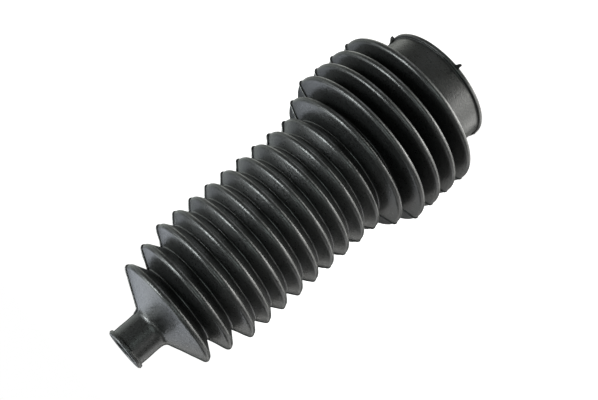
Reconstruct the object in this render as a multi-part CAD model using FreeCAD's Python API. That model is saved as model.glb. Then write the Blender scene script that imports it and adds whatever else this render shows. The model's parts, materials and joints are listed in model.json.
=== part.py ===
import FreeCAD, Part
import math
import os
from collections import namedtuple

# Rubber bellows boot, moulded in one piece, millimetres.
# The axis is +Z. The wide cuff's end face lies on z = 0 and the narrow neck points up.
# Both mould halves meet in the XZ plane, where the boot carries a thin fin of flash.

# Wide cuff, which a band clamps on a housing
CUFF_BORE_R = 25.0
CUFF_WALL = 2.35
CUFF_LENGTH = 14.3
CUFF_ROOT_R = 2.0
CUFF_LIP_PROUD = 1.1
CUFF_LIP_WIDTH = 1.8

# Narrow neck, which a clip clamps on a rod
NECK_BORE_R = 6.5
NECK_WALL = 2.1
NECK_LENGTH = 13.05
NECK_ROOT_R = 3.0
NECK_LIP_PROUD = 0.9
NECK_LIP_WIDTH = 1.8

# Edges of the two lips
LIP_EDGE_R = 0.5
LIP_ROOT_R = 0.3
MOUTH_EDGE_R = 0.5

# Section of the folded wall
FOLD_WALL = 1.2
CREST_R = 1.6
VALLEY_R = 0.5

# Large folds, next to the cuff. Each depth is that of the valley on the fold's cuff side.
CUFF_TO_FOLD = 5.95
LARGE_FOLDS = 4
LARGE_PITCH = 9.4
LARGE_CREST_RADIUS = 39.6
LARGE_DEPTH = 10.5

# One fold that steps down from the large folds to the small ones
STEP_PITCH = 9.2
STEP_CREST_RADIUS = 35.3
STEP_DEPTH = 8.0

# Small folds, all alike
SMALL_FOLDS = 9
SMALL_PITCH = 9.0
SMALL_CREST_RADIUS = 30.5
SMALL_DEPTH = 4.5

# Last folds, which shrink and deepen evenly towards the neck
END_FOLDS = 2
END_PITCH = 10.4
END_CREST_RADIUS = 25.9
END_DEPTH = 7.0

# Cone from the last fold down to the neck
CONE_LENGTH = 10.7

# Fins of flash on the parting line, the taller one towards +X, both thinning out to the neck
FIN_THICKNESS = 0.3
TALL_FIN_AT_CUFF = 0.8
TALL_FIN_AT_NECK = 0.35
LOW_FIN_AT_CUFF = 0.3
LOW_FIN_AT_NECK = 0.2

# Torn tag of flash, left on the cuff's lip
TAG_AZIMUTH = -90.0
TAG_LENGTH = 5.2
TAG_WIDTH = 2.8
TAG_TIP_WIDTH = 0.8
TAG_SKEW = 0.5
TAG_THICKNESS = 0.7

# Sizes that follow from the ones above
CUFF_OUTER_R = CUFF_BORE_R + CUFF_WALL
CUFF_LIP_R = CUFF_OUTER_R + CUFF_LIP_PROUD
NECK_OUTER_R = NECK_BORE_R + NECK_WALL
NECK_LIP_R = NECK_OUTER_R + NECK_LIP_PROUD
FIN_ROOT = FOLD_WALL / 2

# A pin stands at a place in the section, and the outline is wrapped round it like a thread.
# bend is the radius of the round: positive on an outside corner, negative on an inside one,
# and nought where the corner is sharp.
Pin = namedtuple("Pin", "radius height bend")
Fold = namedtuple("Fold", "height crest_radius valley_depth")


def folds_from_cuff():
    """Every fold from the cuff up: its height, crest radius and valley depth."""
    folds = []
    height = CUFF_LENGTH + CUFF_TO_FOLD - LARGE_PITCH
    for _ in range(LARGE_FOLDS):
        height += LARGE_PITCH
        folds.append(Fold(height, LARGE_CREST_RADIUS, LARGE_DEPTH))
    height += STEP_PITCH
    folds.append(Fold(height, STEP_CREST_RADIUS, STEP_DEPTH))
    height += STEP_PITCH - SMALL_PITCH
    for _ in range(SMALL_FOLDS):
        height += SMALL_PITCH
        folds.append(Fold(height, SMALL_CREST_RADIUS, SMALL_DEPTH))
    for number in range(1, END_FOLDS + 1):
        height += END_PITCH
        shrink = (SMALL_CREST_RADIUS - END_CREST_RADIUS) * number / END_FOLDS
        deepening = (END_DEPTH - SMALL_DEPTH) * number / END_FOLDS
        folds.append(Fold(height, SMALL_CREST_RADIUS - shrink, SMALL_DEPTH + deepening))
    return folds


def fold_pins(folds):
    """Pins of the folded wall's outer side, crest and valley in turn, from the cuff up."""
    pins = [Pin(folds[0].crest_radius - CREST_R, folds[0].height, CREST_R)]
    for lower, upper in zip(folds, folds[1:]):
        floor = upper.crest_radius - upper.valley_depth
        pins.append(Pin(floor + VALLEY_R, (lower.height + upper.height) / 2, -VALLEY_R))
        pins.append(Pin(upper.crest_radius - CREST_R, upper.height, CREST_R))
    return pins


def cuff_lip_pins():
    """Pins of the cuff's lip on the outer side, from the end face up."""
    return [
        Pin(CUFF_LIP_R - LIP_EDGE_R, LIP_EDGE_R, LIP_EDGE_R),
        Pin(CUFF_LIP_R - LIP_EDGE_R, CUFF_LIP_WIDTH - LIP_EDGE_R, LIP_EDGE_R),
        Pin(CUFF_OUTER_R + LIP_ROOT_R, CUFF_LIP_WIDTH + LIP_ROOT_R, -LIP_ROOT_R),
    ]


def cuff_root_pin():
    """Pin of the fillet between the cuff and the first fold."""
    return Pin(CUFF_OUTER_R + CUFF_ROOT_R, CUFF_LENGTH, -CUFF_ROOT_R)


def neck_root_pin(folds):
    """Pin of the fillet between the cone and the neck."""
    return Pin(NECK_OUTER_R + NECK_ROOT_R, folds[-1].height + CONE_LENGTH, -NECK_ROOT_R)


def neck_top(folds):
    """Height of the neck's end face."""
    return neck_root_pin(folds).height + NECK_LENGTH


def neck_lip_pins(folds):
    """Pins of the neck's lip on the outer side, up to the end face."""
    top = neck_top(folds)
    return [
        Pin(NECK_OUTER_R + LIP_ROOT_R, top - NECK_LIP_WIDTH - LIP_ROOT_R, -LIP_ROOT_R),
        Pin(NECK_LIP_R - LIP_EDGE_R, top - NECK_LIP_WIDTH + LIP_EDGE_R, LIP_EDGE_R),
        Pin(NECK_LIP_R - LIP_EDGE_R, top - LIP_EDGE_R, LIP_EDGE_R),
    ]


def outer_pins(folds):
    """Pins of the boot's whole outer side, from the cuff's end face up to the neck's."""
    wall = [cuff_root_pin()] + fold_pins(folds) + [neck_root_pin(folds)]
    return cuff_lip_pins() + wall + neck_lip_pins(folds)


def far_side(pins, wall):
    """Pins of the outline that lies a wall behind these, in the opposite order."""
    return [Pin(p.radius, p.height, wall - p.bend) for p in reversed(pins)]


def inner_pins(folds):
    """Pins of the hollow, from the neck's mouth down to the cuff's."""
    top_mouth = Pin(NECK_BORE_R + MOUTH_EDGE_R, neck_top(folds) - MOUTH_EDGE_R, MOUTH_EDGE_R)
    low_mouth = Pin(CUFF_BORE_R + MOUTH_EDGE_R, MOUTH_EDGE_R, MOUTH_EDGE_R)
    neck_root = far_side([neck_root_pin(folds)], NECK_WALL)
    folded_wall = far_side(fold_pins(folds), FOLD_WALL)
    cuff_root = far_side([cuff_root_pin()], CUFF_WALL)
    return [top_mouth] + neck_root + folded_wall + cuff_root + [low_mouth]


def heading(start, end):
    """Direction of the straight run that leaves one pin and meets the next, in radians."""
    across = end.radius - start.radius
    up = end.height - start.height
    lean = (end.bend - start.bend) / math.hypot(across, up)
    return math.atan2(up, across) - math.asin(lean)


def touch_point(pin, direction):
    """Point where a run with this direction touches the pin, in the XZ plane."""
    return FreeCAD.Vector(
        pin.radius + pin.bend * math.sin(direction),
        0,
        pin.height - pin.bend * math.cos(direction),
    )


def wrapped_face(pins):
    """Flat face in the XZ plane inside the closed outline that is wrapped round the pins."""
    count = len(pins)
    headings = [heading(pins[i], pins[(i + 1) % count]) for i in range(count)]
    edges = []
    for i, pin in enumerate(pins):
        arriving = headings[i - 1]
        leaving = headings[i]
        turn = math.remainder(leaving - arriving, 2 * math.pi)
        first = touch_point(pin, arriving)
        last = touch_point(pin, leaving)
        if pin.bend:
            middle = touch_point(pin, arriving + turn / 2)
            edges.append(Part.Arc(first, middle, last).toShape())
        following = pins[(i + 1) % count]
        edges.append(Part.LineSegment(last, touch_point(following, leaving)).toShape())
    return Part.Face(Part.Wire(edges))


def turned_body(folds):
    """The boot without its flash: one section turned round the axis."""
    section = wrapped_face(outer_pins(folds) + inner_pins(folds))
    return section.revolve(FreeCAD.Vector(0, 0, 0), FreeCAD.Vector(0, 0, 1), 360)


def parting_fin(folds, proud_at_cuff, proud_at_neck):
    """Thin fin of flash on the outer side, in the half plane of +X.

    It stands out of the wall by the first length at the cuff and by the second at the neck.
    """
    top = neck_top(folds)
    rim = outer_pins(folds)
    foot_height = rim[0].height
    head_height = rim[-1].height

    def pushed_out(radius, height, bend):
        proud = proud_at_cuff + (proud_at_neck - proud_at_cuff) * height / top
        return Pin(radius + proud, height, bend)

    outside = [pushed_out(CUFF_LIP_R, foot_height, 0.0)]
    outside += [pushed_out(*pin) for pin in rim[1:-1]]
    outside.append(pushed_out(NECK_LIP_R, head_height, 0.0))
    wall = [cuff_root_pin()] + fold_pins(folds) + [neck_root_pin(folds)]
    inside = [Pin(NECK_OUTER_R - FIN_ROOT, head_height, 0.0)]
    inside += far_side(wall, FIN_ROOT)
    inside.append(Pin(CUFF_OUTER_R - FIN_ROOT, foot_height, 0.0))
    band = wrapped_face(outside + inside)
    band.translate(FreeCAD.Vector(0, -FIN_THICKNESS / 2, 0))
    return band.extrude(FreeCAD.Vector(0, FIN_THICKNESS, 0))


def torn_tag():
    """Torn tag of flash that stands out of the cuff's lip and narrows to a blunt tip."""
    root = CUFF_LIP_R - LIP_EDGE_R
    tip = CUFF_LIP_R + TAG_LENGTH
    corners = [
        (root, -TAG_WIDTH / 2),
        (tip, -TAG_SKEW - TAG_TIP_WIDTH / 2),
        (tip, -TAG_SKEW + TAG_TIP_WIDTH / 2),
        (root, TAG_WIDTH / 2),
    ]
    points = [FreeCAD.Vector(x, y, LIP_EDGE_R) for x, y in corners]
    tag = Part.Face(Part.makePolygon(points + points[:1]))
    solid = tag.extrude(FreeCAD.Vector(0, 0, TAG_THICKNESS))
    solid.rotate(FreeCAD.Vector(0, 0, 0), FreeCAD.Vector(0, 0, 1), TAG_AZIMUTH)
    return solid


def bellows_boot():
    """The whole boot as one solid."""
    folds = folds_from_cuff()
    tall_fin = parting_fin(folds, TALL_FIN_AT_CUFF, TALL_FIN_AT_NECK)
    low_fin = parting_fin(folds, LOW_FIN_AT_CUFF, LOW_FIN_AT_NECK)
    low_fin = low_fin.mirror(FreeCAD.Vector(0, 0, 0), FreeCAD.Vector(1, 0, 0))
    boot = turned_body(folds).fuse([tall_fin, low_fin, torn_tag()])
    return boot.Solids[0]


os.makedirs("parts", exist_ok=True)
bellows_boot().exportStep("parts/bellows_boot.step")
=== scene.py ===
import json
import logging
import math
from dataclasses import dataclass
from enum import Enum

import bpy
import numpy as np
from mathutils import Matrix, Vector

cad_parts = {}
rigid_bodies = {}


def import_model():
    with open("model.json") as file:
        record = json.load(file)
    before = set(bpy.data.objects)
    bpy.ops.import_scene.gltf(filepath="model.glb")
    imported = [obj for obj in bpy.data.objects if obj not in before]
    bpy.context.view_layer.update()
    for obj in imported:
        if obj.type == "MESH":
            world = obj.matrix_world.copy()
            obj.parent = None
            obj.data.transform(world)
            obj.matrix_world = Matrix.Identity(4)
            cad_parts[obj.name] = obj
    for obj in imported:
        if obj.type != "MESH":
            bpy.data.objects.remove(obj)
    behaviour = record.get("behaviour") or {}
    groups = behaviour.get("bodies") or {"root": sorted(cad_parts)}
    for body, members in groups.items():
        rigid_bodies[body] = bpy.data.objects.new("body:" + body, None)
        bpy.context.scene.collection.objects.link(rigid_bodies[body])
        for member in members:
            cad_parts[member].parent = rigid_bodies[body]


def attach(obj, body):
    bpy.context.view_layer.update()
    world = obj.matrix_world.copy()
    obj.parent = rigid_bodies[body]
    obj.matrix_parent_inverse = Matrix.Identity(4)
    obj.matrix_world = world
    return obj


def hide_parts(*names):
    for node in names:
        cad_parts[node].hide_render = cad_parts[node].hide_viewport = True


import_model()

# Looks of a rubber bellows boot that was moulded in one piece in a two-part mould.
# Lengths are in millimetres up to the moment a mesh is made, and Blender's are in metres.
# The axis is +Z, the wide cuff stands on z = 0, and the mould parted in the XZ plane.

MM = 0.001
# Turn between two points of a round, in degrees: on lips and roots, crests, valleys and inside.
LIP_STEP_DEG = 15.0
CREST_STEP_DEG = 12.0
VALLEY_STEP_DEG = 21.0
HOLLOW_STEP_DEG = 30.0
log = logging.getLogger("bellows_boot")


def srgb(hex_colour: str) -> tuple[float, float, float, float]:
    """Turns an sRGB hex colour into linear light.

    Args:
        hex_colour: colour such as "#2a2d2f".

    Returns:
        Linear red, green, blue and an alpha of 1.
    """
    values = [int(hex_colour[i:i + 2], 16) / 255 for i in (1, 3, 5)]
    linear = [v / 12.92 if v <= 0.04045 else ((v + 0.055) / 1.055) ** 2.4 for v in values]
    return (linear[0], linear[1], linear[2], 1.0)


def add_node(tree: bpy.types.NodeTree, kind: str, settings: dict[str, object] | None = None,
             inputs: dict[str | int, object] | None = None) -> bpy.types.Node:
    """Adds one node with its settings and its links.

    Args:
        tree: node tree that the node joins.
        kind: Blender's name of the node type.
        settings: attributes of the node by name.
        inputs: input sockets by name or number; a socket is linked, and any other value is set.

    Returns:
        The new node.
    """
    node = tree.nodes.new(kind)
    for name, value in (settings or {}).items():
        setattr(node, name, value)
    for name, value in (inputs or {}).items():
        if isinstance(value, bpy.types.NodeSocket):
            tree.links.new(value, node.inputs[name])
        else:
            node.inputs[name].default_value = value
    return node


def smooth(share: np.ndarray) -> np.ndarray:
    """Smooth step of a share: 3 s² - 2 s³, with s held between 0 and 1."""
    held = np.clip(share, 0.0, 1.0)
    return held * held * (3 - 2 * held)


@dataclass(frozen=True)
class Outline:
    """Pins that a section's outline is wrapped round like a thread.

    bend is the radius of the round at a pin: positive on an outside corner, negative on an
    inside one. step_deg is the turn between two points on that round, and each run that leaves
    a pin with stops gets points of its own near its ends.
    """

    radius: np.ndarray
    height: np.ndarray
    bend: np.ndarray
    step_deg: np.ndarray
    stops: np.ndarray

    @staticmethod
    def of(rows: np.ndarray | list[tuple[float, float, float]], step_deg: float | np.ndarray,
           stops: bool = True) -> "Outline":
        """Outline from a table of pins.

        Args:
            rows: radius, height and bend of each pin, in millimetres.
            step_deg: turn between two points of a round, one for all pins or one for each.
            stops: whether the runs between the pins get points of their own.

        Returns:
            The outline.
        """
        table = np.array(rows, float)
        count = len(table)
        return Outline(table[:, 0], table[:, 1], table[:, 2], np.full(count, step_deg),
                       np.full(count, stops))

    def columns(self) -> tuple[np.ndarray, ...]:
        """The five columns in their order."""
        return (self.radius, self.height, self.bend, self.step_deg, self.stops)

    def open_ended(self) -> "Outline":
        """The same pins with no stops on the closing run, which isn't part of the surface."""
        stops = self.stops.copy()
        stops[-1] = False
        return Outline(self.radius, self.height, self.bend, self.step_deg, stops)

    def then(self, other: "Outline") -> "Outline":
        """This outline followed by another."""
        return Outline(*(np.concatenate(pair) for pair in zip(self.columns(), other.columns())))

    def wrapped(self, run_stops: tuple[float, ...]) -> np.ndarray:
        """Points of the closed outline, round by round and run by run.

        The straight run from a pin to the next has the direction
        atan2(up, across) - asin(difference of the bends / distance). A round is the centre
        plus the bend times (sin, -cos) of the direction, which turns evenly from the arriving
        run's to the leaving run's.

        Args:
            run_stops: shares of a run's length at which it gets a point of its own.

        Returns:
            Rows of radius and height in millimetres.
        """
        r, h, bend = self.radius, self.height, self.bend
        nxt = np.roll(np.arange(len(r)), -1)
        lean = (bend[nxt] - bend) / np.hypot(r[nxt] - r, h[nxt] - h)
        leaving = np.arctan2(h[nxt] - h, r[nxt] - r) - np.arcsin(lean)
        turn = (leaving - np.roll(leaving, 1) + np.pi) % (2 * np.pi) - np.pi
        counts = np.ceil(np.abs(turn) / np.radians(self.step_deg)).astype(int) + 1
        pin = np.repeat(np.arange(len(r)), counts)
        earlier = np.repeat(np.cumsum(counts) - counts, counts)
        share = (np.arange(len(pin)) - earlier) / (counts[pin] - 1)
        way = np.roll(leaving, 1)[pin] + turn[pin] * share
        rounds = np.stack([r[pin] + bend[pin] * np.sin(way), h[pin] - bend[pin] * np.cos(way)], 1)
        side = np.stack([np.sin(leaving), -np.cos(leaving)], 1)
        start = np.stack([r, h], 1) + bend[:, None] * side
        end = np.stack([r[nxt], h[nxt]], 1) + bend[nxt][:, None] * side
        share_of_run = np.array(run_stops).reshape(1, -1, 1)
        runs = (start[:, None] * (1 - share_of_run) + end[:, None] * share_of_run)[self.stops]
        # All points are sorted by a key. From a pin's number up, its round takes the first 0.4,
        # and the run that leaves it takes 0.5 to 0.9.
        span, run_from = 0.4, 0.5
        run_key = np.arange(len(r))[:, None] + run_from + span * np.array(run_stops)[None]
        key = np.concatenate([pin + span * share, run_key[self.stops].ravel()])
        order = np.argsort(key, kind="stable")
        return np.concatenate([rounds, runs.reshape(-1, 2)])[order]


@dataclass(frozen=True)
class FoldRun:
    """Folds of one kind, from the cuff up.

    pitch is the height from a fold to the one below it. By its last fold the run has lost
    shrink of its crest radius and gained deepening in the depth of its valleys.
    """

    count: int
    pitch: float
    crest_radius: float
    depth: float
    shrink: float = 0.0
    deepening: float = 0.0

    def crest_radii(self) -> np.ndarray:
        """Crest radius of each fold of the run."""
        return self.crest_radius - self.shrink * np.arange(1, self.count + 1) / self.count

    def depths(self) -> np.ndarray:
        """Depth of the valley on each fold's cuff side."""
        return self.depth + self.deepening * np.arange(1, self.count + 1) / self.count


@dataclass(frozen=True)
class BootSection:
    """Sizes of the moulded section and the outlines that follow from them."""

    cuff_bore_r: float = 25.0
    cuff_wall: float = 2.35
    cuff_length: float = 14.3
    cuff_root_r: float = 2.0
    cuff_lip_proud: float = 1.1
    cuff_lip_width: float = 1.8
    neck_bore_r: float = 6.5
    neck_wall: float = 2.1
    neck_length: float = 13.05
    neck_root_r: float = 3.0
    neck_lip_proud: float = 0.9
    neck_lip_width: float = 1.8
    lip_r: float = 0.5
    lip_root_r: float = 0.3
    fold_wall: float = 1.2
    crest_r: float = 1.6
    valley_r: float = 0.5
    cuff_to_fold: float = 5.95
    cone_length: float = 10.7
    bow: float = 0.34
    runs: tuple[FoldRun, ...] = (
        FoldRun(4, 9.4, 39.6, 10.5),
        FoldRun(1, 9.2, 35.3, 8.0),
        FoldRun(1, 9.2, 30.5, 4.5),
        FoldRun(8, 9.0, 30.5, 4.5),
        FoldRun(2, 10.4, 30.5, 4.5, 4.6, 2.5),
    )

    @property
    def cuff_outer_r(self) -> float:
        """Outer radius of the cuff."""
        return self.cuff_bore_r + self.cuff_wall

    @property
    def neck_outer_r(self) -> float:
        """Outer radius of the neck."""
        return self.neck_bore_r + self.neck_wall

    def crests(self) -> tuple[np.ndarray, np.ndarray, np.ndarray]:
        """Places and sizes of all folds, from the cuff up.

        A fold's height is the cuff's length, the stretch to the first fold and all the pitches
        from there.

        Returns:
            Columns of height, crest radius and depth.
        """
        pitch = np.concatenate([np.full(run.count, run.pitch) for run in self.runs])
        depth = np.concatenate([run.depths() for run in self.runs])
        radius = np.concatenate([run.crest_radii() for run in self.runs])
        pitch[0] = 0.0
        return self.cuff_length + self.cuff_to_fold + np.cumsum(pitch), radius, depth

    def folded_wall(self) -> np.ndarray:
        """Outer pins of the folds, crest and valley in turn.

        A crest's pin lies at the crest radius less its round. A valley's pin lies halfway up to
        the next fold, at that fold's crest radius less its depth and plus the valley's round.

        Returns:
            Rows of radius, height and bend.
        """
        height, radius, depth = self.crests()
        rows = np.zeros((2 * len(height) - 1, 3))
        rows[0::2, 0] = radius - self.crest_r
        rows[0::2, 1] = height
        rows[0::2, 2] = self.crest_r
        rows[1::2, 0] = radius[1:] - depth[1:] + self.valley_r
        rows[1::2, 1] = (height[1:] + height[:-1]) / 2
        rows[1::2, 2] = -self.valley_r
        return rows

    @property
    def neck_root(self) -> float:
        """Height at which the cone meets the neck."""
        return float(self.crests()[0][-1]) + self.cone_length

    @property
    def top(self) -> float:
        """Height of the neck's end face."""
        return self.neck_root + self.neck_length

    def bowed(self, points: np.ndarray) -> np.ndarray:
        """The same points with the slight bow of the relaxed boot, nought at both ends.

        x grows by 4 bow t (1 - t), where t is the share of the boot's whole height.

        Args:
            points: array whose last axis holds x, y and z in millimetres.

        Returns:
            A moved copy of the array.
        """
        share = np.clip(points[..., 2] / self.top, 0.0, 1.0)
        moved = points.copy()
        moved[..., 0] += 4 * self.bow * share * (1 - share)
        return moved

    def outer(self) -> Outline:
        """Outer pins from the cuff's end face over the folds to the neck's end face.

        Returns:
            Outline whose runs all have stops.
        """
        r, root_r = self.lip_r, self.lip_root_r
        cuff_r, neck_r = self.cuff_outer_r, self.neck_outer_r
        cuff_lip, neck_lip = cuff_r + self.cuff_lip_proud, neck_r + self.neck_lip_proud
        over_lip, under_lip = self.cuff_lip_width, self.top - self.neck_lip_width
        low = Outline.of([
            (cuff_lip - r, r, r),
            (cuff_lip - r, over_lip - r, r),
            (cuff_r + root_r, over_lip + root_r, -root_r),
            (cuff_r + self.cuff_root_r, self.cuff_length, -self.cuff_root_r)], LIP_STEP_DEG)
        high = Outline.of([
            (neck_r + self.neck_root_r, self.neck_root, -self.neck_root_r),
            (neck_r + root_r, under_lip - root_r, -root_r),
            (neck_lip - r, under_lip + r, r),
            (neck_lip - r, self.top - r, r)], LIP_STEP_DEG)
        folds = self.folded_wall()
        step = np.where(folds[:, 2] > 0.0, CREST_STEP_DEG, VALLEY_STEP_DEG)
        return low.then(Outline.of(folds, step)).then(high)

    def inner(self) -> Outline:
        """Inner pins from the neck's mouth down to the cuff's.

        The thread runs the other way round the outer pins, and keeps the wall's thickness from
        the outer outline: each bend is the wall less the outer bend.

        Returns:
            Outline without stops.
        """
        r = self.lip_r
        hollow = self.folded_wall()[::-1]
        hollow[:, 2] = self.fold_wall - hollow[:, 2]
        mouth = Outline.of([
            (self.neck_bore_r + r, self.top - r, r),
            (self.neck_outer_r + self.neck_root_r, self.neck_root,
             self.neck_root_r + self.neck_wall)], LIP_STEP_DEG, False)
        foot = Outline.of([
            (self.cuff_outer_r + self.cuff_root_r, self.cuff_length,
             self.cuff_root_r + self.cuff_wall),
            (self.cuff_bore_r + r, r, r)], LIP_STEP_DEG, False)
        return mouth.then(Outline.of(hollow, HOLLOW_STEP_DEG, False)).then(foot)


def make_object(name: str, points: np.ndarray, quads: np.ndarray) -> bpy.types.Object:
    """Makes a smooth mesh object from points in millimetres.

    Args:
        name: name of the piece.
        points: rows of x, y and z.
        quads: rows of four point numbers, anticlockwise from outside.

    Returns:
        The object, linked to the scene, at the origin.
    """
    mesh = bpy.data.meshes.new(name)
    mesh.vertices.add(len(points))
    mesh.vertices.foreach_set("co", (points * MM).astype(np.float32).ravel())
    mesh.loops.add(quads.size)
    mesh.loops.foreach_set("vertex_index", quads.astype(np.int32).ravel())
    mesh.polygons.add(len(quads))
    mesh.polygons.foreach_set("loop_start", np.arange(0, quads.size, 4, dtype=np.int32))
    mesh.polygons.foreach_set("use_smooth", np.ones(len(quads), bool))
    mesh.update(calc_edges=True)
    mesh.validate()
    piece = bpy.data.objects.new(name, mesh)
    bpy.context.scene.collection.objects.link(piece)
    return piece


def grid_quads(rows: int, columns: int, rows_join: bool, columns_join: bool) -> np.ndarray:
    """Faces of a grid of points numbered row by row.

    Args:
        rows: number of rows.
        columns: number of columns.
        rows_join: whether the last row is joined to the first.
        columns_join: whether the last column is joined to the first.

    Returns:
        Rows of four point numbers.
    """
    i = np.arange(rows if rows_join else rows - 1)[:, None]
    j = np.arange(columns if columns_join else columns - 1)[None]
    i_next, j_next = (i + 1) % rows, (j + 1) % columns
    here, above = i * columns, i_next * columns
    corners = [here + j, here + j_next, above + j_next, above + j]
    return np.stack([np.broadcast_to(c, (i.size, j.size)).ravel() for c in corners], 1)


@dataclass(frozen=True)
class NoisePattern:
    """Noise of a real size.

    size_mm is the width of its largest spots, detail the number of times that finer ones are
    added, and falloff the weight of each finer lot against the one before.
    """

    size_mm: float
    detail: float
    falloff: float

    def value(self, tree: bpy.types.NodeTree, place: bpy.types.NodeSocket) -> bpy.types.NodeSocket:
        """Adds the noise to a material.

        Args:
            tree: node tree that the noise joins.
            place: point on the object, in metres.

        Returns:
            The noise's value, which lies about 0.5.
        """
        return add_node(tree, "ShaderNodeTexNoise", inputs={
            "Vector": place, "Scale": 1 / (self.size_mm * MM), "Detail": self.detail,
            "Roughness": self.falloff}).outputs["Fac"]


def ranged(tree: bpy.types.NodeTree, value: bpy.types.NodeSocket, limits: tuple[float, float],
           ends: tuple[float, float] = (0.0, 1.0)) -> bpy.types.NodeSocket:
    """Brings a value from one range to another, and holds it there.

    Args:
        tree: node tree that the node joins.
        value: the value.
        limits: lowest and highest value that count.
        ends: what comes out at the two limits.

    Returns:
        The new value.
    """
    return add_node(tree, "ShaderNodeMapRange", inputs={
        "Value": value, "From Min": limits[0], "From Max": limits[1],
        "To Min": ends[0], "To Max": ends[1]}).outputs["Result"]


@dataclass(frozen=True)
class MouldedRubber:
    """Black chloroprene rubber from a spark-eroded steel mould.

    The compound is near black. The mould's fine pits leave the skin matt and speckled, and a
    thin waxy bloom greys it in soft patches. Each pair of limits says where a pattern, or the
    slope of a trimmed end face, starts to count and where it counts in full.
    """

    name: str = "moulded_chloroprene_rubber"
    body: str = "#0b0b0b"
    bloom: str = "#131414"
    ior: float = 1.52
    roughness: float = 0.34
    roughness_spread: float = 0.09
    roughness_limits: tuple[float, float] = (0.3, 0.7)
    trimmed_roughness: float = 0.85
    trimmed_limits: tuple[float, float] = (0.985, 0.998)
    grain: NoisePattern = NoisePattern(0.75, 2.0, 0.6)
    grain_depth_mm: float = 0.085
    speck_limits: tuple[float, float] = (0.35, 0.75)
    flow: NoisePattern = NoisePattern(7.0, 3.0, 0.55)
    patch_limits: tuple[float, float] = (0.35, 0.70)
    patch_share: float = 0.45

    def material(self) -> bpy.types.Material:
        """Builds the material's nodes.

        Returns:
            The material that all pieces of the boot share.
        """
        made = bpy.data.materials.new(self.name)
        made.use_nodes = True
        tree = made.node_tree
        tree.nodes.clear()
        place = add_node(tree, "ShaderNodeTexCoord").outputs["Object"]
        # The mould's pits are about 0.1 mm wide on the real skin. They are drawn 0.75 mm wide, a
        # pixel and a half of the photograph, because finer ones would not show in it.
        grain = self.grain.value(tree, place)
        # The bloom's patches are some 7 mm wide.
        patch = ranged(tree, self.flow.value(tree, place), self.patch_limits)
        speck = ranged(tree, grain, self.speck_limits)
        haze = add_node(tree, "ShaderNodeMath", {"operation": "MULTIPLY_ADD"}, {
            0: patch, 1: self.patch_share, 2: speck})
        colour = add_node(tree, "ShaderNodeMix", {"data_type": "RGBA", "clamp_factor": True}, {
            "Factor": haze.outputs[0], 6: srgb(self.body), 7: srgb(self.bloom)})
        # The end faces were trimmed, so where the skin faces up or down the axis it has no pits
        # and is dull.
        facing = add_node(tree, "ShaderNodeSeparateXYZ", inputs={
            0: add_node(tree, "ShaderNodeTexCoord").outputs["Normal"]}).outputs["Z"]
        steep = add_node(tree, "ShaderNodeMath", {"operation": "ABSOLUTE"}, {0: facing})
        trimmed = ranged(tree, steep.outputs[0], self.trimmed_limits)
        pitted = add_node(tree, "ShaderNodeMath", {"operation": "SUBTRACT"}, {0: 1.0, 1: trimmed})
        moulded = ranged(tree, grain, self.roughness_limits,
                         (self.roughness - self.roughness_spread,
                          self.roughness + self.roughness_spread))
        rough = add_node(tree, "ShaderNodeMix", inputs={
            0: trimmed, 2: moulded, 3: self.trimmed_roughness})
        bump = add_node(tree, "ShaderNodeBump", inputs={
            "Height": grain, "Strength": pitted.outputs[0],
            "Distance": self.grain_depth_mm * MM})
        skin = add_node(tree, "ShaderNodeBsdfPrincipled", inputs={
            "Base Color": colour.outputs[2], "Roughness": rough.outputs[0],
            "IOR": self.ior, "Normal": bump.outputs["Normal"]})
        add_node(tree, "ShaderNodeOutputMaterial", inputs={"Surface": skin.outputs["BSDF"]})
        return made


@dataclass
class BootBody:
    """The boot's folded wall, cuff and neck: one section turned round the axis.

    waviness is how far the rubber is from round. It counts between wavy_from and wavy_to, and
    grows over fade from there, so that the cuff and the neck stay round. The waves run along
    the height: each turns by one radian over oval_wave, lobed_wave or sway_wave.
    """

    section: BootSection
    skin: bpy.types.Material
    segments: int = 160
    run_stops: tuple[float, ...] = (0.05, 0.95)
    waviness: float = 0.05
    wavy_from: float = 14.0
    wavy_to: float = 165.0
    fade: float = 12.0
    oval_wave: float = 17.0
    lobed_wave: float = 11.0
    sway_wave: float = 23.0
    sway_share: float = 1.5

    def surface(self) -> np.ndarray:
        """Grid of the turned surface, one row for each point of the section.

        x = radius cos(turn) and y = radius sin(turn). The radius first grows by
        w (sin(2 turn + height / 17) + sin(3 turn - height / 11) - 2), where w is the waviness
        at that height, and the height by 1.5 w sin(2 turn - height / 23), as moulded rubber is
        never quite round once it has cooled. The 2 keeps the folds within the solid's box.

        Returns:
            Array of rows, columns and x, y, z in millimetres.
        """
        loop = self.section.outer().then(self.section.inner()).wrapped(self.run_stops)
        turn = np.linspace(0, 2 * np.pi, self.segments, endpoint=False)[None]
        radius, height = loop[:, :1], loop[:, 1:]
        inside = np.minimum(height - self.wavy_from, self.wavy_to - height)
        free = np.clip(inside / self.fade, 0.0, 1.0)
        oval = np.sin(2 * turn + height / self.oval_wave)
        lobed = np.sin(3 * turn - height / self.lobed_wave)
        swell = self.waviness * free * (oval + lobed - 2.0)
        sway = self.sway_share * self.waviness * free * np.sin(2 * turn - height / self.sway_wave)
        return self.section.bowed(np.stack([(radius + swell) * np.cos(turn),
                                            (radius + swell) * np.sin(turn), height + sway], 2))

    def build(self) -> bpy.types.Object:
        """Makes the closed mesh and hands it to the frame."""
        grid = self.surface()
        rows, columns = grid.shape[:2]
        quads = grid_quads(rows, columns, True, True)
        piece = make_object("boot_body", grid.reshape(-1, 3), quads)
        piece.data.materials.append(self.skin)
        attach(piece, "root")
        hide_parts("bellows_boot")
        log.info("boot_body: %d section points, %d faces", rows, len(quads))
        return piece


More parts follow.
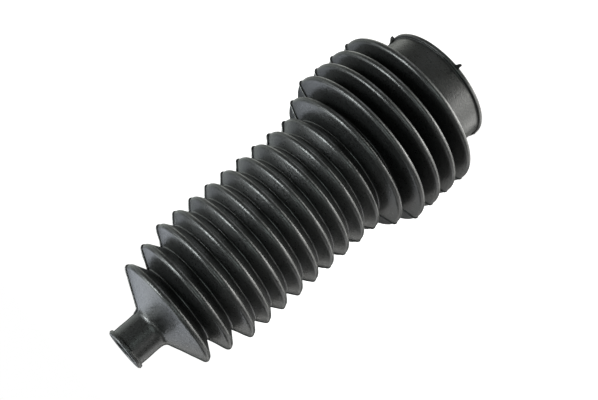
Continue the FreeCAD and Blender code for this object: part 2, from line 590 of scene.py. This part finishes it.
@dataclass(frozen=True)
class FinWidths:
    """How far one fin stands out of the rubber, in millimetres.

    neck_flank and cuff_flank are on the sides of a fold that face the neck and the cuff. On the
    cuff the fin is cuff_root wide and flares to cuff_end over the lip, both counted from the
    cuff's wall.
    """

    side: int
    neck_flank: float
    cuff_flank: float
    cuff_root: float
    cuff_end: float
    neck: float


@dataclass
class PartingFlash:
    """Thin fins of flash where the two halves of the mould met, on both sides of the boot.

    A fold's fin starts to widen where the outline's normal has the rise turn_from, and is done
    turn_span further on; the rise is nought on the crest and 1 towards the neck. On the cuff
    the fin starts to flare at the height flare_from, over flare_length down towards the lip,
    and stands at least least_on_lip out of the lip. short_ripple and long_ripple are the lengths
    along the outline over which the ripples of the ragged edge turn by one radian.
    """

    section: BootSection
    skin: bpy.types.Material
    fins: tuple[FinWidths, ...] = (
        FinWidths(1, 0.70, 0.14, 0.40, 2.45, 0.28),
        FinWidths(-1, 0.38, 0.18, 0.20, 0.35, 0.22),
    )
    run_stops: tuple[float, ...] = (0.05, 0.12, 0.2, 0.35, 0.65, 0.95)
    turn_from: float = -0.60
    turn_span: float = 0.95
    least_on_lip: float = 0.14
    flare_from: float = 4.6
    flare_length: float = 3.2
    ragged: float = 0.18
    short_ripple: float = 1.3
    long_ripple: float = 4.3
    root_depth: float = 0.35
    root_thickness: float = 0.30
    edge_thickness: float = 0.12

    def widths(self, fin: FinWidths, path: np.ndarray, normal: np.ndarray) -> np.ndarray:
        """Width of a fin at each point of the folds and the neck.

        On the folds it goes smoothly from the cuff flank's width to the neck flank's as the
        outline turns over the crest. Two sines of the length along the outline make it ragged.

        Args:
            fin: widths of this fin.
            path: rows of radius and height.
            normal: outward normals at those points.

        Returns:
            Widths in millimetres.
        """
        over = smooth((normal[:, 1] - self.turn_from) / self.turn_span)
        width = fin.cuff_flank + (fin.neck_flank - fin.cuff_flank) * over
        width = np.where(path[:, 1] > self.section.neck_root, fin.neck, width)
        length = np.concatenate([[0.0], np.cumsum(np.hypot(*np.diff(path, axis=0).T))])
        ripple = (np.sin(length / self.short_ripple + fin.side)
                  * np.sin(length / self.long_ripple + 2 * fin.side))
        return width * (1 + self.ragged * ripple)

    def strip(self, fin: FinWidths) -> np.ndarray:
        """Grid of one fin: four corners at each point of the boot's outer outline.

        The edge stands out along the outline's normal by the fin's width. Where the outline is
        hollow and the edge would fold over itself, it is held level with the point before. On the
        cuff the edge's radius grows smoothly over the flare, down towards the lip.

        Args:
            fin: widths and side of this fin.

        Returns:
            Array of rows, four corners and x, y, z in millimetres.
        """
        ends = self.section.lip_r
        path = self.section.outer().open_ended().wrapped(self.run_stops)
        path = path[(path[:, 1] > ends) & (path[:, 1] < self.section.top - ends)]
        along = np.gradient(path, axis=0)
        along /= np.hypot(along[:, 0], along[:, 1])[:, None]
        normal = np.stack([along[:, 1], -along[:, 0]], 1)
        edge = path + normal * self.widths(fin, path, normal)[:, None]
        on_cuff = path[:, 1] < self.section.cuff_length
        grown = smooth((self.flare_from - path[:, 1]) / self.flare_length)
        ramp = self.section.cuff_outer_r + fin.cuff_root + (fin.cuff_end - fin.cuff_root) * grown
        edge[on_cuff, 0] = np.maximum(ramp, path[:, 0] + self.least_on_lip)[on_cuff]
        edge[on_cuff, 1] = path[on_cuff, 1]
        edge[:, 1] = np.maximum.accumulate(edge[:, 1])
        foot = path - normal * self.root_depth
        corners = [(foot, -self.root_thickness), (edge, -self.edge_thickness),
                   (edge, self.edge_thickness), (foot, self.root_thickness)]
        rows = [np.stack([fin.side * line[:, 0], np.full(len(line), thick / 2), line[:, 1]], 1)
                for line, thick in corners]
        return self.section.bowed(np.stack(rows, 1))

    def build(self) -> bpy.types.Object:
        """Makes both fins as one closed-ended piece."""
        points, quads, count = [], [], 0
        for fin in self.fins:
            grid = self.strip(fin)
            rows, columns = grid.shape[:2]
            faces = grid_quads(rows, columns, False, True)
            caps = np.array([[3, 2, 1, 0], (rows - 1) * 4 + np.arange(4)])
            faces = np.concatenate([faces, caps])
            if fin.side > 0:
                faces = faces[:, ::-1]
            points.append(grid.reshape(-1, 3))
            quads.append(faces + count)
            count += rows * columns
        piece = make_object("parting_flash", np.concatenate(points), np.concatenate(quads))
        piece.data.materials.append(self.skin)
        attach(piece, "root")
        log.info("parting_flash: %d faces", len(piece.data.polygons))
        return piece


@dataclass
class TornTag:
    """Torn flake of flash that was left on the cuff's lip.

    It starts sunk deep in the lip, and root_length of it doesn't count towards its length.
    """

    section: BootSection
    skin: bpy.types.Material
    azimuth_deg: float = -90.0
    length: float = 5.2
    root_length: float = 0.4
    sunk: float = 0.5
    width: float = 2.8
    tip_width: float = 0.9
    torn: float = 0.10
    torn_turn: float = 9.0
    skew: float = 0.5
    skew_power: float = 1.5
    thickness: float = 0.7
    thinning: float = 0.5
    height: float = 0.85

    def surface(self, rows: int = 14, columns: int = 12) -> np.ndarray:
        """Grid of the flake: a flat oval section that shrinks from the lip to a bent tip.

        At the share s of the length, the half width goes evenly from half the root's to half
        the blunt tip's, times 1 + torn sin(9 s). The half thickness falls to a half, and the
        section's middle lies skew times s to the power 1.5 to the side.

        Args:
            rows: sections along the length.
            columns: points round a section.

        Returns:
            Array of rows, columns and x, y, z in millimetres, pointing along +X.
        """
        s = np.linspace(0.0, 1.0, rows)[:, None]
        turn = np.linspace(0, 2 * np.pi, columns, endpoint=False)[None]
        half = ((self.width + (self.tip_width - self.width) * s) / 2
                * (1 + self.torn * np.sin(self.torn_turn * s)))
        thick = self.thickness / 2 * (1 - self.thinning * s)
        root = self.section.cuff_outer_r + self.section.cuff_lip_proud - self.sunk
        y = half * np.cos(turn) - self.skew * s ** self.skew_power
        x = np.broadcast_to(root + (self.length + self.root_length) * s, y.shape)
        z = self.height + thick * np.sin(turn)
        return np.stack([x, y, z], 2)

    def build(self) -> bpy.types.Object:
        """Makes the flake, closed at both ends, and turns it to its place on the lip."""
        grid = self.surface()
        rows, columns = grid.shape[:2]
        quads = grid_quads(rows, columns, False, True)[:, ::-1]
        ends = np.stack([grid[0].mean(0), grid[-1].mean(0)])
        points = np.concatenate([grid.reshape(-1, 3), ends])
        angle = math.radians(self.azimuth_deg)
        cos, sin = math.cos(angle), math.sin(angle)
        spin = np.array([[cos, sin, 0], [-sin, cos, 0], [0, 0, 1]])
        j = np.arange(0, columns, 2)
        first = rows * columns
        low = np.stack([j, (j + 1) % columns, (j + 2) % columns, np.full(len(j), first)], 1)
        base = (rows - 1) * columns
        high = np.stack([base + (j + 2) % columns, base + (j + 1) % columns, base + j,
                         np.full(len(j), first + 1)], 1)
        piece = make_object("torn_tag", points @ spin, np.concatenate([quads, low, high]))
        piece.data.materials.append(self.skin)
        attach(piece, "root")
        log.info("torn_tag: %d faces", len(piece.data.polygons))
        return piece


class LampForm(Enum):
    """Outline of a soft lamp's front."""

    ROUND = "DISK"
    OBLONG = "RECTANGLE"


@dataclass(frozen=True)
class SoftLamp:
    """A studio soft box that faces the boot's middle from 0.9 m away.

    bearing goes round the boot from its left side (0) by its top end (90) to its right side
    (180), and rise goes from that round towards the camera. spread is how wide and high the
    front looks from the boot, and spin turns it about the way it faces. All are in degrees.
    """

    name: str
    bearing: float
    rise: float
    spread: tuple[float, float]
    radiance: float
    spin: float = 0.0
    colour: str = "#ffffff"
    form: LampForm = LampForm.OBLONG
    distance: float = 0.9

    def axes(self) -> tuple[Vector, Vector, Vector]:
        """The lamp's width, height and backward directions.

        Backward is (cos rise cos bearing, -sin rise, cos rise sin bearing).
        """
        bearing, rise = math.radians(self.bearing), math.radians(self.rise)
        away = Vector((math.cos(rise) * math.cos(bearing), -math.sin(rise),
                       math.cos(rise) * math.sin(bearing)))
        across = Vector((-math.sin(bearing), 0.0, math.cos(bearing)))
        spun = Matrix.Rotation(math.radians(self.spin), 3, away) @ across
        return spun, away.cross(spun), away

    def build(self, target: Vector) -> bpy.types.Object:
        """Places the lamp and gives it the power that its radiance needs.

        Args:
            target: point that the lamp faces, in metres.

        Returns:
            The lamp's object.
        """
        lamp = bpy.data.lights.new(self.name, "AREA")
        lamp.shape = self.form.value
        width, height = (2 * self.distance * math.tan(math.radians(v / 2)) for v in self.spread)
        lamp.size, lamp.size_y = width, height
        area = width * height * (math.pi / 4 if self.form is LampForm.ROUND else 1.0)
        lamp.energy = self.radiance * math.pi * area
        lamp.color = srgb(self.colour)[:3]
        thing = bpy.data.objects.new(self.name, lamp)
        axes = self.axes()
        place = target + axes[2] * self.distance
        thing.matrix_world = Matrix.Translation(place) @ Matrix(axes).transposed().to_4x4()
        thing.visible_camera = False
        bpy.context.scene.collection.objects.link(thing)
        return thing


def glow(name: str, bearing: float, rise: float, width: float, radiance: float,
         colour: str = "#ffffff") -> SoftLamp:
    """A round patch of the lit table or wall, as a lamp that looks width degrees wide."""
    return SoftLamp(name, bearing, rise, (width, width), radiance, 0.0, colour, LampForm.ROUND)


@dataclass(frozen=True)
class PaleFloor:
    """Opal acrylic table that glows evenly: a disc of rings that the camera alone sees.

    The light that the real table throws on the rubber comes from the lamps named after it.
    """

    hole: float = 0.05
    reach: float = 8000.0
    drop: float = 0.02
    rings: int = 12
    sides: int = 64
    colour: str = "#8c8a88"
    roughness: float = 0.9
    glow_colour: str = "#ffffff"
    glow_strength: float = 0.97

    def surface(self) -> np.ndarray:
        """Grid of the disc, ring by ring.

        x = radius cos(turn) and y = radius sin(turn), where the radius grows evenly from the
        hole to the reach, and z lies the drop below the cuff's end face.

        Returns:
            Array of rings, sides and x, y, z in millimetres.
        """
        radius = np.linspace(self.hole, self.reach, self.rings)[:, None]
        turn = np.linspace(0, 2 * np.pi, self.sides, endpoint=False)[None]
        level = np.full((self.rings, self.sides), -self.drop)
        return np.stack([radius * np.cos(turn), radius * np.sin(turn), level], 2)

    def material(self) -> bpy.types.Material:
        """Builds the table's material, lit from within."""
        made = bpy.data.materials.new("opal_acrylic_table")
        made.use_nodes = True
        tree = made.node_tree
        tree.nodes.clear()
        skin = add_node(tree, "ShaderNodeBsdfPrincipled", inputs={
            "Base Color": srgb(self.colour), "Roughness": self.roughness,
            "Specular IOR Level": 0.0, "Emission Color": srgb(self.glow_colour),
            "Emission Strength": self.glow_strength})
        add_node(tree, "ShaderNodeOutputMaterial", inputs={"Surface": skin.outputs["BSDF"]})
        return made

    def build(self) -> bpy.types.Object:
        """Makes the disc, and keeps it out of shadows and reflections."""
        quads = grid_quads(self.rings, self.sides, False, True)[:, ::-1]
        disc = make_object("pale_floor", self.surface().reshape(-1, 3), quads)
        disc.data.materials.append(self.material())
        disc.visible_shadow = False
        disc.visible_glossy = False
        disc.visible_diffuse = False
        return disc


@dataclass
class Studio:
    """Pale floor, soft lamps, white surroundings and the photograph's camera.

    The camera circles the axis at the height aim_height, at the distance orbit in the YZ plane,
    and is then turned by pan, tilt and roll. ambient is the strength of the light from all
    round. It fades between the depths fade_from and fade_to behind the boot, 1 being straight
    behind, to the share far_share.
    """

    aim_height: float = 79.25
    orbit: float = 469.32
    elevation_deg: float = 16.7032
    pan_deg: float = 0.0634
    tilt_deg: float = -0.6631
    roll_deg: float = 130.4831
    lens: float = 64.772
    sensor: float = 36.0
    clip: tuple[float, float] = (0.01, 50.0)
    ambient: float = 0.27
    ambient_colour: str = "#fbfff8"
    backdrop_colour: str = "#ffffff"
    fade_from: float = 0.3
    fade_to: float = 0.85
    far_share: float = 0.05
    table: PaleFloor = PaleFloor()
    lamps: tuple[SoftLamp, ...] = (
        SoftLamp("left_box", 50, 15, (28, 38), 4.8, 0.0, "#f8ffff"),
        SoftLamp("left_core_box", 50, 20, (18, 24), 18.0, 0.0, "#f8ffff"),
        SoftLamp("left_low_box", 64, -20, (24, 26), 3.8, 0.0, "#f8ffff"),
        SoftLamp("left_edge_box", 30, -2, (20, 30), 2.8, 0.0, "#f8ffff"),
        SoftLamp("right_strip_box", -120, 0, (30, 84), 3.2, 24.0, "#fffffb"),
        SoftLamp("right_core_box", -116, 14, (22, 40), 9.2, 24.0, "#fffffb"),
        SoftLamp("right_edge_box", -148, 20, (22, 44), 3.5, 10.0, "#fffffb"),
        SoftLamp("right_low_box", -148, -18, (22, 30), 3.2, 0.0, "#fffffb"),
        glow("cuff_glow", -60, 20, 28, 3.0, "#f9fdff"),
        glow("cuff_low_glow", -50, -25, 34, 2.0, "#fbfff8"),
        glow("cuff_high_glow", -95, 32, 24, 6.8, "#fbfff8"),
        glow("back_left_glow", -50, -60, 36, 0.6, "#fbfff8"),
        glow("back_right_glow", -125, -58, 36, 0.3, "#fbfff8"),
        glow("right_low_glow", 164, -54, 24, 1.1, "#fffffb"),
        glow("right_glow", 176, -25, 36, 1.6),
        glow("right_high_glow", 180, 44, 30, 1.0),
        glow("right_top_glow", 152, 0, 30, 1.2),
        glow("table_far_glow", 90, -58, 22, 2.0, "#eef5ff"),
        glow("table_far_left_glow", 60, -56, 20, 1.6, "#eef5ff"),
        glow("table_far_right_glow", 128, -57, 20, 1.0, "#fffffb"),
        glow("table_left_glow", 40, -48, 24, 0.7, "#eef5ff"),
        glow("table_glow", 90, -36, 18, 5.4, "#eef5ff"),
        glow("table_mid_left_glow", 68, -38, 18, 3.2, "#eef5ff"),
        glow("table_mid_right_glow", 114, -34, 20, 2.9, "#f6faff"),
        glow("table_near_glow", 90, -18, 20, 2.8, "#eef5ff"),
        glow("top_glow", 90, 5, 18, 4.0, "#f6fffa"),
        glow("left_low_glow", 0, -22, 36, 0.9, "#f6fffa"),
        glow("left_far_glow", 0, -55, 36, 0.8, "#f6fffa"),
        glow("front_glow", 108, 68, 30, 3.4, "#eefffb"),
    )

    def camera(self) -> None:
        """Sets up the camera of the photograph from its orbit, pan, tilt and roll."""
        e, pan, tilt, roll = (math.radians(v) for v in (
            self.elevation_deg, self.pan_deg, self.tilt_deg, self.roll_deg))
        back = np.array([0.0, -math.cos(e), math.sin(e)])
        right = np.cross([0.0, 0.0, 1.0], back)
        right /= np.linalg.norm(right)
        axes = np.stack([right, np.cross(back, right), back])
        turn_pan = np.array([[math.cos(pan), 0, math.sin(pan)],
                             [0, 1, 0],
                             [-math.sin(pan), 0, math.cos(pan)]])
        turn_tilt = np.array([[1, 0, 0],
                              [0, math.cos(tilt), -math.sin(tilt)],
                              [0, math.sin(tilt), math.cos(tilt)]])
        turn_roll = np.array([[math.cos(roll), -math.sin(roll), 0],
                              [math.sin(roll), math.cos(roll), 0],
                              [0, 0, 1]])
        axes = turn_roll @ turn_tilt @ turn_pan @ axes
        lens = bpy.data.cameras.new("photo_camera")
        lens.lens = self.lens
        lens.sensor_width = self.sensor
        lens.sensor_fit = "HORIZONTAL"
        lens.clip_start, lens.clip_end = self.clip
        eye = bpy.data.objects.new("photo_camera", lens)
        place = (back * self.orbit + np.array([0, 0, self.aim_height])) * MM
        eye.matrix_world = Matrix.Translation(Vector(place)) @ Matrix(axes.T.tolist()).to_4x4()
        bpy.context.scene.collection.objects.link(eye)
        bpy.context.scene.camera = eye

    def surroundings(self) -> None:
        """Sets a white backdrop for the camera and a dim light that fades behind the boot."""
        world = bpy.data.worlds.new("white_studio")
        world.use_nodes = True
        tree = world.node_tree
        tree.nodes.clear()
        way = add_node(tree, "ShaderNodeTexCoord").outputs["Generated"]
        depth = add_node(tree, "ShaderNodeSeparateXYZ", inputs={0: way}).outputs["Y"]
        faded = ranged(tree, depth, (self.fade_from, self.fade_to),
                       (self.ambient, self.far_share * self.ambient))
        dim = add_node(tree, "ShaderNodeBackground", inputs={
            "Color": srgb(self.ambient_colour), "Strength": faded})
        white = add_node(tree, "ShaderNodeBackground", inputs={
            "Color": srgb(self.backdrop_colour), "Strength": 1.0})
        seen = add_node(tree, "ShaderNodeLightPath").outputs["Is Camera Ray"]
        mixed = add_node(tree, "ShaderNodeMixShader", inputs={
            0: seen, 1: dim.outputs[0], 2: white.outputs[0]})
        add_node(tree, "ShaderNodeOutputWorld", inputs={"Surface": mixed.outputs[0]})
        bpy.context.scene.world = world

    def build(self) -> None:
        """Builds the whole studio and picks a plain view transform."""
        self.table.build()
        self.surroundings()
        for lamp in self.lamps:
            lamp.build(Vector((0, 0, self.aim_height * MM)))
        self.camera()
        view = bpy.context.scene.view_settings
        view.view_transform = "Standard"
        view.look = "None"
        log.info("studio: %d lamps", len(self.lamps))


def main() -> None:
    """Builds the studio and the boot's pieces in order."""
    logging.basicConfig(level=logging.INFO, format="%(message)s")
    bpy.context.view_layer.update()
    section = BootSection()
    skin = MouldedRubber().material()
    Studio().build()
    for part in (BootBody(section, skin), PartingFlash(section, skin), TornTag(section, skin)):
        part.build()


if __name__ == "__main__":
    main()
